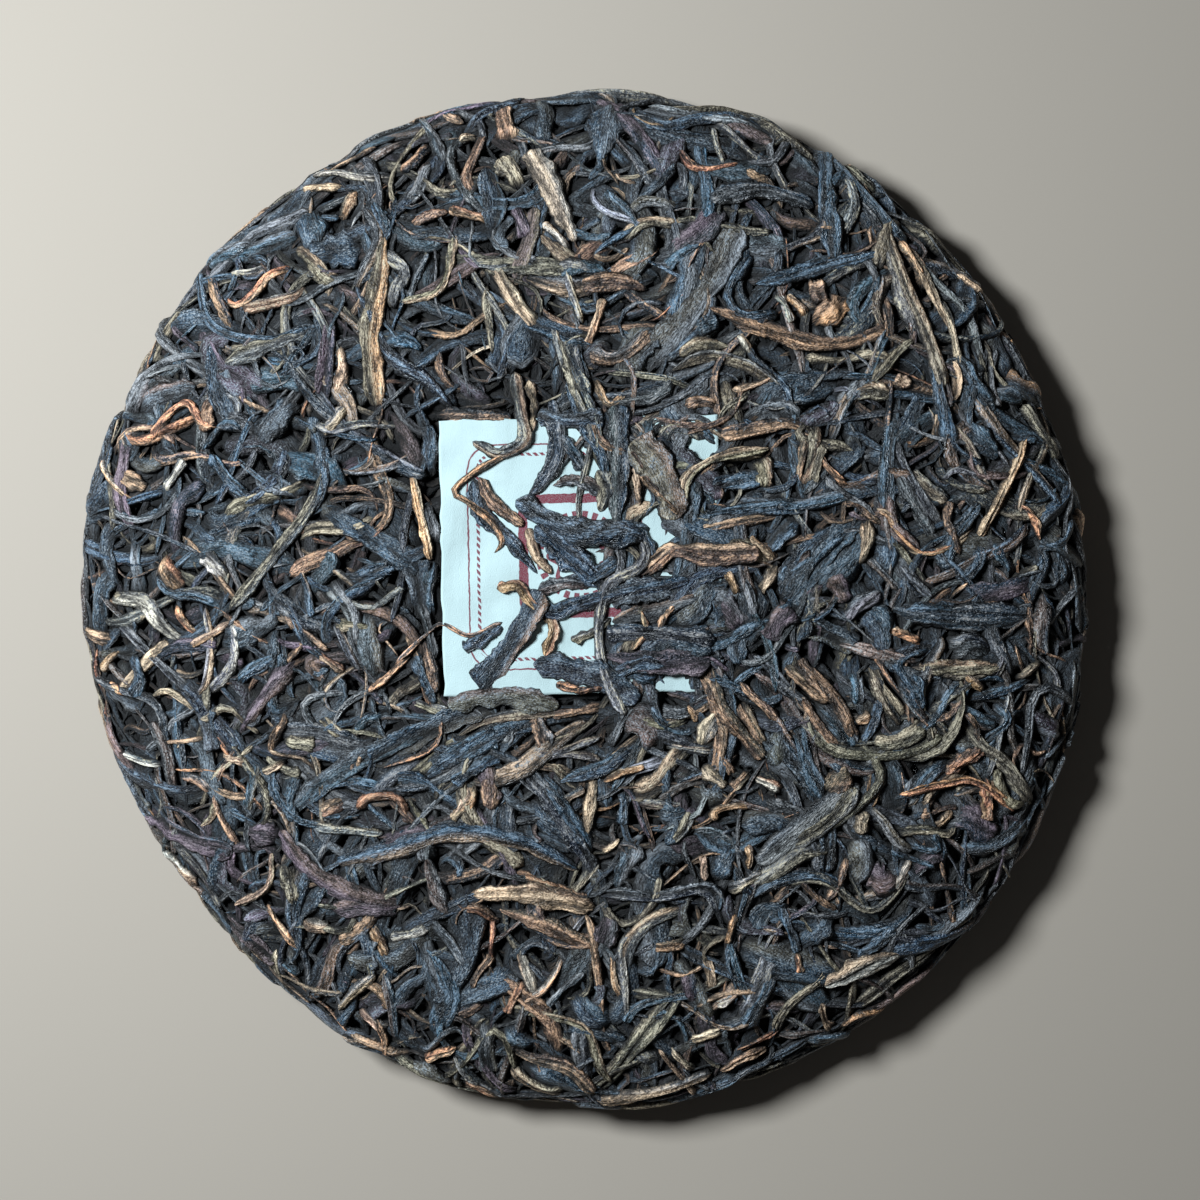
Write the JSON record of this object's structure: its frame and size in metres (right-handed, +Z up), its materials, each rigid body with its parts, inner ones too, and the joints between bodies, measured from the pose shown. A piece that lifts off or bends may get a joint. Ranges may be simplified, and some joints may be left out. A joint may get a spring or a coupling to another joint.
{
  "type": "pu erh tea cake",
  "caption": "Round pressed cake of twisted dark tea leaves, domed face up, with a square paper ticket half buried in its face.",
  "frame": {"origin": "middle of the cake's footprint box, on the surface that it rests on", "axes": "+Z up through the domed face, +Y towards the top of the paper ticket, +X to the ticket's right"},
  "size_m": [0.1998, 0.1998, 0.026],
  "materials": {
    "pressed_leaves": "dry, satin on the ridges of the leaves",
    "ticket_paper": "thin matt cotton paper, printed dark red"
  },
  "bodies": {
    "root": {"tea_cake": "pressed_leaves", "paper_ticket": "ticket_paper"}
  },
  "joints": []
}
